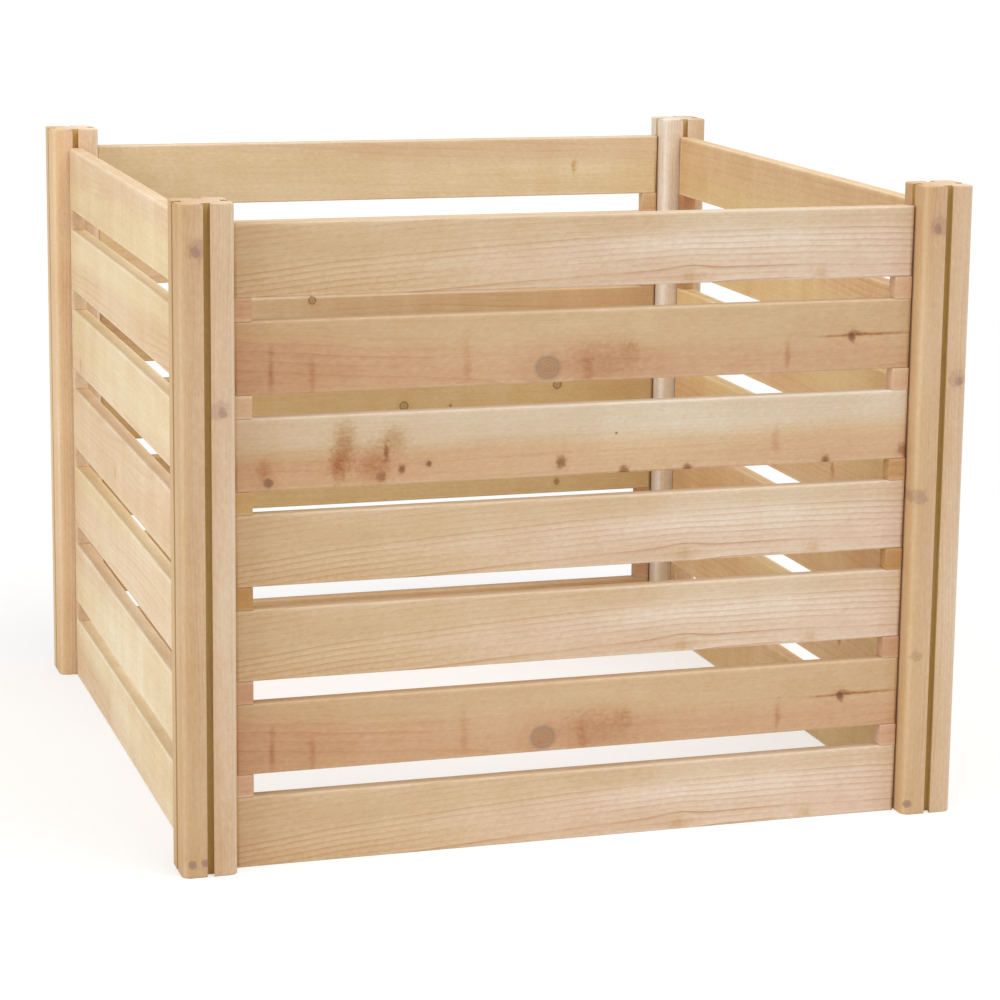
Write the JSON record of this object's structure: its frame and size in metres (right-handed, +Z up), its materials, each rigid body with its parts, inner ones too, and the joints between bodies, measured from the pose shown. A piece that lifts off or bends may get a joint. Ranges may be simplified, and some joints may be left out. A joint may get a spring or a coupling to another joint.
{
  "type": "slatted compost bin",
  "caption": "Open square garden compost bin of wooden slats that slide by dovetail tongues into grooved corner posts, with spacer blocks keeping air gaps between them.",
  "frame": {"origin": "the middle of the bin's footprint, on the ground that its posts stand on", "axes": "+Z up along the posts; the front wall faces -Y and the right wall faces +X"},
  "size_m": [0.914, 0.914, 0.737],
  "materials": {
    "post_cedar": "bare planed cedar",
    "slat_cedar": "bare planed cedar",
    "spacer_cedar": "bare sawn cedar"
  },
  "bodies": {
    "posts": {"front_left_post": "post_cedar", "front_right_post": "post_cedar", "back_right_post": "post_cedar", "back_left_post": "post_cedar"},
    "front_course_1": {"front_slat_1": "slat_cedar", "front_spacers_1": "spacer_cedar"},
    "front_course_2": {"front_slat_2": "slat_cedar", "front_spacers_2": "spacer_cedar"},
    "front_course_3": {"front_slat_3": "slat_cedar", "front_spacers_3": "spacer_cedar"},
    "front_course_4": {"front_slat_4": "slat_cedar", "front_spacers_4": "spacer_cedar"},
    "front_course_5": {"front_slat_5": "slat_cedar", "front_spacers_5": "spacer_cedar"},
    "front_course_6": {"front_slat_6": "slat_cedar", "front_spacers_6": "spacer_cedar"},
    "front_course_7": {"front_slat_7": "slat_cedar"},
    "right_course_1": {"right_slat_1": "slat_cedar", "right_spacers_1": "spacer_cedar"},
    "right_course_2": {"right_slat_2": "slat_cedar", "right_spacers_2": "spacer_cedar"},
    "right_course_3": {"right_slat_3": "slat_cedar", "right_spacers_3": "spacer_cedar"},
    "right_course_4": {"right_slat_4": "slat_cedar", "right_spacers_4": "spacer_cedar"},
    "right_course_5": {"right_slat_5": "slat_cedar", "right_spacers_5": "spacer_cedar"},
    "right_course_6": {"right_slat_6": "slat_cedar", "right_spacers_6": "spacer_cedar"},
    "right_course_7": {"right_slat_7": "slat_cedar"},
    "back_course_1": {"back_slat_1": "slat_cedar", "back_spacers_1": "spacer_cedar"},
    "back_course_2": {"back_slat_2": "slat_cedar", "back_spacers_2": "spacer_cedar"},
    "back_course_3": {"back_slat_3": "slat_cedar", "back_spacers_3": "spacer_cedar"},
    "back_course_4": {"back_slat_4": "slat_cedar", "back_spacers_4": "spacer_cedar"},
    "back_course_5": {"back_slat_5": "slat_cedar", "back_spacers_5": "spacer_cedar"},
    "back_course_6": {"back_slat_6": "slat_cedar", "back_spacers_6": "spacer_cedar"},
    "back_course_7": {"back_slat_7": "slat_cedar"},
    "left_course_1": {"left_slat_1": "slat_cedar", "left_spacers_1": "spacer_cedar"},
    "left_course_2": {"left_slat_2": "slat_cedar", "left_spacers_2": "spacer_cedar"},
    "left_course_3": {"left_slat_3": "slat_cedar", "left_spacers_3": "spacer_cedar"},
    "left_course_4": {"left_slat_4": "slat_cedar", "left_spacers_4": "spacer_cedar"},
    "left_course_5": {"left_slat_5": "slat_cedar", "left_spacers_5": "spacer_cedar"},
    "left_course_6": {"left_slat_6": "slat_cedar", "left_spacers_6": "spacer_cedar"},
    "left_course_7": {"left_slat_7": "slat_cedar"}
  },
  "joints": [
    {"name": "front_course_1_lift", "type": "slide", "parent": "posts", "child": "front_course_1", "axis": [0, 0, 1], "range_m": [0, 0.75]},
    {"name": "front_course_2_lift", "type": "slide", "parent": "front_course_1", "child": "front_course_2", "axis": [0, 0, 1], "range_m": [0, 0.6445]},
    {"name": "front_course_3_lift", "type": "slide", "parent": "front_course_2", "child": "front_course_3", "axis": [0, 0, 1], "range_m": [0, 0.539]},
    {"name": "front_course_4_lift", "type": "slide", "parent": "front_course_3", "child": "front_course_4", "axis": [0, 0, 1], "range_m": [0, 0.4335]},
    {"name": "front_course_5_lift", "type": "slide", "parent": "front_course_4", "child": "front_course_5", "axis": [0, 0, 1], "range_m": [0, 0.328]},
    {"name": "front_course_6_lift", "type": "slide", "parent": "front_course_5", "child": "front_course_6", "axis": [0, 0, 1], "range_m": [0, 0.2225]},
    {"name": "front_course_7_lift", "type": "slide", "parent": "front_course_6", "child": "front_course_7", "axis": [0, 0, 1], "range_m": [0, 0.117]},
    {"name": "right_course_1_lift", "type": "slide", "parent": "posts", "child": "right_course_1", "axis": [0, 0, 1], "range_m": [0, 0.75]},
    {"name": "right_course_2_lift", "type": "slide", "parent": "right_course_1", "child": "right_course_2", "axis": [0, 0, 1], "range_m": [0, 0.6445]},
    {"name": "right_course_3_lift", "type": "slide", "parent": "right_course_2", "child": "right_course_3", "axis": [0, 0, 1], "range_m": [0, 0.539]},
    {"name": "right_course_4_lift", "type": "slide", "parent": "right_course_3", "child": "right_course_4", "axis": [0, 0, 1], "range_m": [0, 0.4335]},
    {"name": "right_course_5_lift", "type": "slide", "parent": "right_course_4", "child": "right_course_5", "axis": [0, 0, 1], "range_m": [0, 0.328]},
    {"name": "right_course_6_lift", "type": "slide", "parent": "right_course_5", "child": "right_course_6", "axis": [0, 0, 1], "range_m": [0, 0.2225]},
    {"name": "right_course_7_lift", "type": "slide", "parent": "right_course_6", "child": "right_course_7", "axis": [0, 0, 1], "range_m": [0, 0.117]},
    {"name": "back_course_1_lift", "type": "slide", "parent": "posts", "child": "back_course_1", "axis": [0, 0, 1], "range_m": [0, 0.75]},
    {"name": "back_course_2_lift", "type": "slide", "parent": "back_course_1", "child": "back_course_2", "axis": [0, 0, 1], "range_m": [0, 0.6445]},
    {"name": "back_course_3_lift", "type": "slide", "parent": "back_course_2", "child": "back_course_3", "axis": [0, 0, 1], "range_m": [0, 0.539]},
    {"name": "back_course_4_lift", "type": "slide", "parent": "back_course_3", "child": "back_course_4", "axis": [0, 0, 1], "range_m": [0, 0.4335]},
    {"name": "back_course_5_lift", "type": "slide", "parent": "back_course_4", "child": "back_course_5", "axis": [0, 0, 1], "range_m": [0, 0.328]},
    {"name": "back_course_6_lift", "type": "slide", "parent": "back_course_5", "child": "back_course_6", "axis": [0, 0, 1], "range_m": [0, 0.2225]},
    {"name": "back_course_7_lift", "type": "slide", "parent": "back_course_6", "child": "back_course_7", "axis": [0, 0, 1], "range_m": [0, 0.117]},
    {"name": "left_course_1_lift", "type": "slide", "parent": "posts", "child": "left_course_1", "axis": [0, 0, 1], "range_m": [0, 0.75]},
    {"name": "left_course_2_lift", "type": "slide", "parent": "left_course_1", "child": "left_course_2", "axis": [0, 0, 1], "range_m": [0, 0.6445]},
    {"name": "left_course_3_lift", "type": "slide", "parent": "left_course_2", "child": "left_course_3", "axis": [0, 0, 1], "range_m": [0, 0.539]},
    {"name": "left_course_4_lift", "type": "slide", "parent": "left_course_3", "child": "left_course_4", "axis": [0, 0, 1], "range_m": [0, 0.4335]},
    {"name": "left_course_5_lift", "type": "slide", "parent": "left_course_4", "child": "left_course_5", "axis": [0, 0, 1], "range_m": [0, 0.328]},
    {"name": "left_course_6_lift", "type": "slide", "parent": "left_course_5", "child": "left_course_6", "axis": [0, 0, 1], "range_m": [0, 0.2225]},
    {"name": "left_course_7_lift", "type": "slide", "parent": "left_course_6", "child": "left_course_7", "axis": [0, 0, 1], "range_m": [0, 0.117]}
  ]
}
